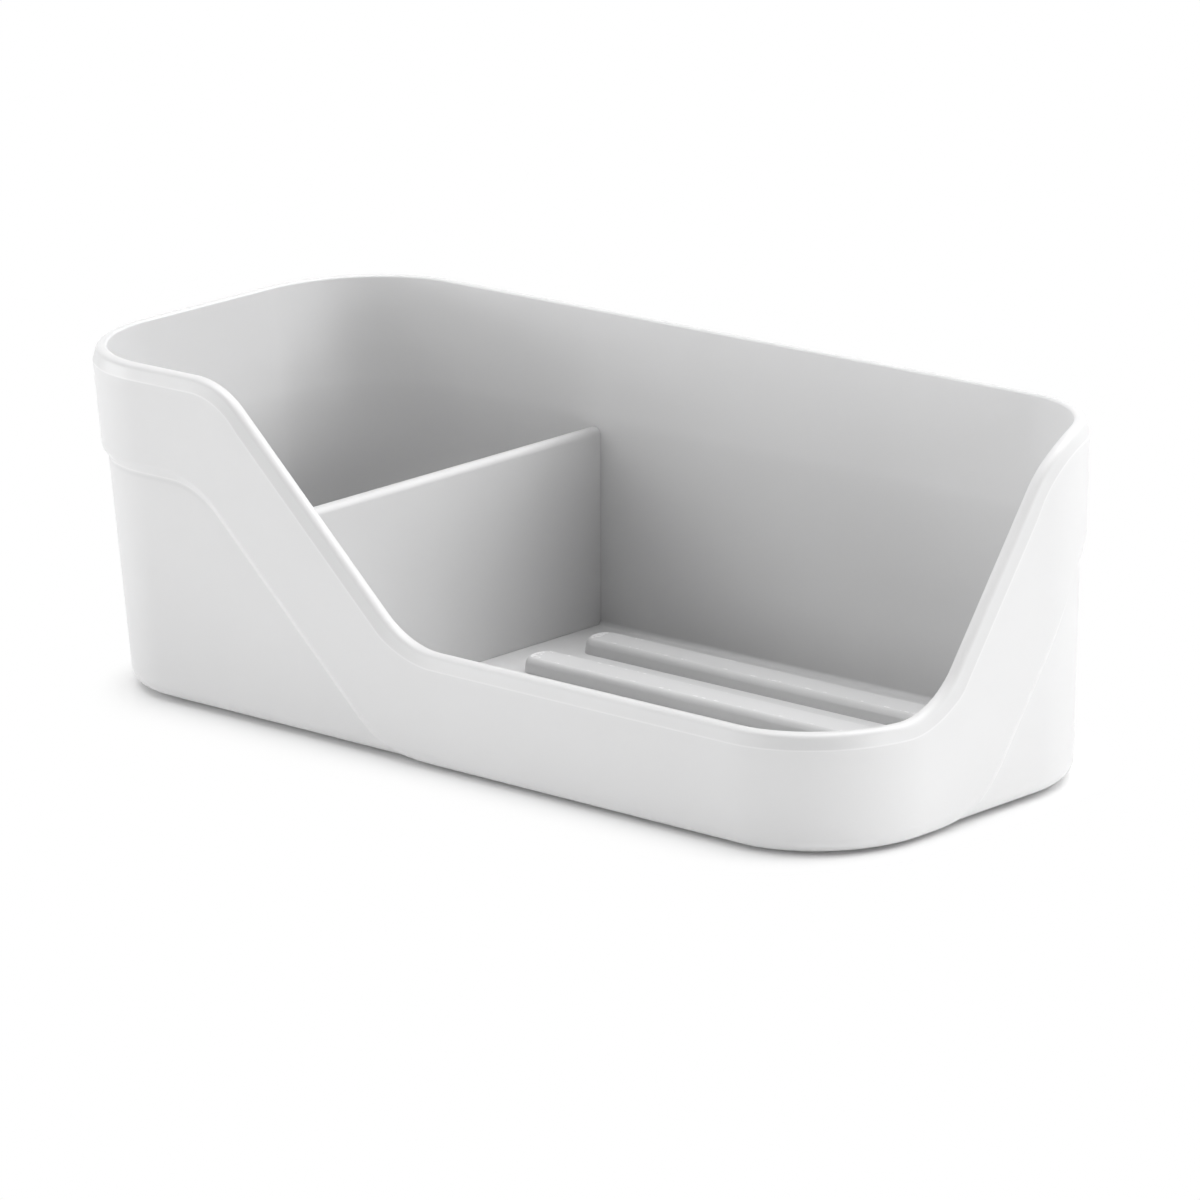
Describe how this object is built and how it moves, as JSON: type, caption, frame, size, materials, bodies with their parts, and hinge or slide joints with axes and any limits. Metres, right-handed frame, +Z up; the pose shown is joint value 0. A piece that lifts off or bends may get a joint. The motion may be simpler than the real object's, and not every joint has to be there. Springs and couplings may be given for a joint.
{
  "type": "kitchen sink caddy",
  "caption": "Open sink caddy with drafted walls, a tall back, a rim that ramps down to a low front corner, a lift-out divider, drain bars on the floor and non-slip feet.",
  "frame": {"origin": "on the counter, under the middle of the caddy's outline", "axes": "+X along the length towards the low end, +Y towards the tall back, +Z up"},
  "size_m": [0.2497, 0.1058, 0.0816],
  "materials": {
    "tub_plastic": "satin moulded light grey polypropylene",
    "divider_plastic": "satin moulded light grey polypropylene",
    "bar_plastic": "glossier moulded light grey polypropylene",
    "foot_rubber": "matt grey elastomer"
  },
  "bodies": {
    "tub": {"caddy_tub": "tub_plastic", "drain_bar_back": "bar_plastic", "drain_bar_mid_back": "bar_plastic", "drain_bar_mid_front": "bar_plastic", "drain_bar_front": "bar_plastic", "foot_front_left": "foot_rubber", "foot_front_right": "foot_rubber", "foot_back_left": "foot_rubber", "foot_back_right": "foot_rubber"},
    "divider": {"lift_out_divider": "divider_plastic"}
  },
  "joints": [
    {"name": "divider_lift", "type": "slide", "parent": "tub", "child": "divider", "axis": [0, 0, 1], "range_m": [0, 0.08]}
  ]
}
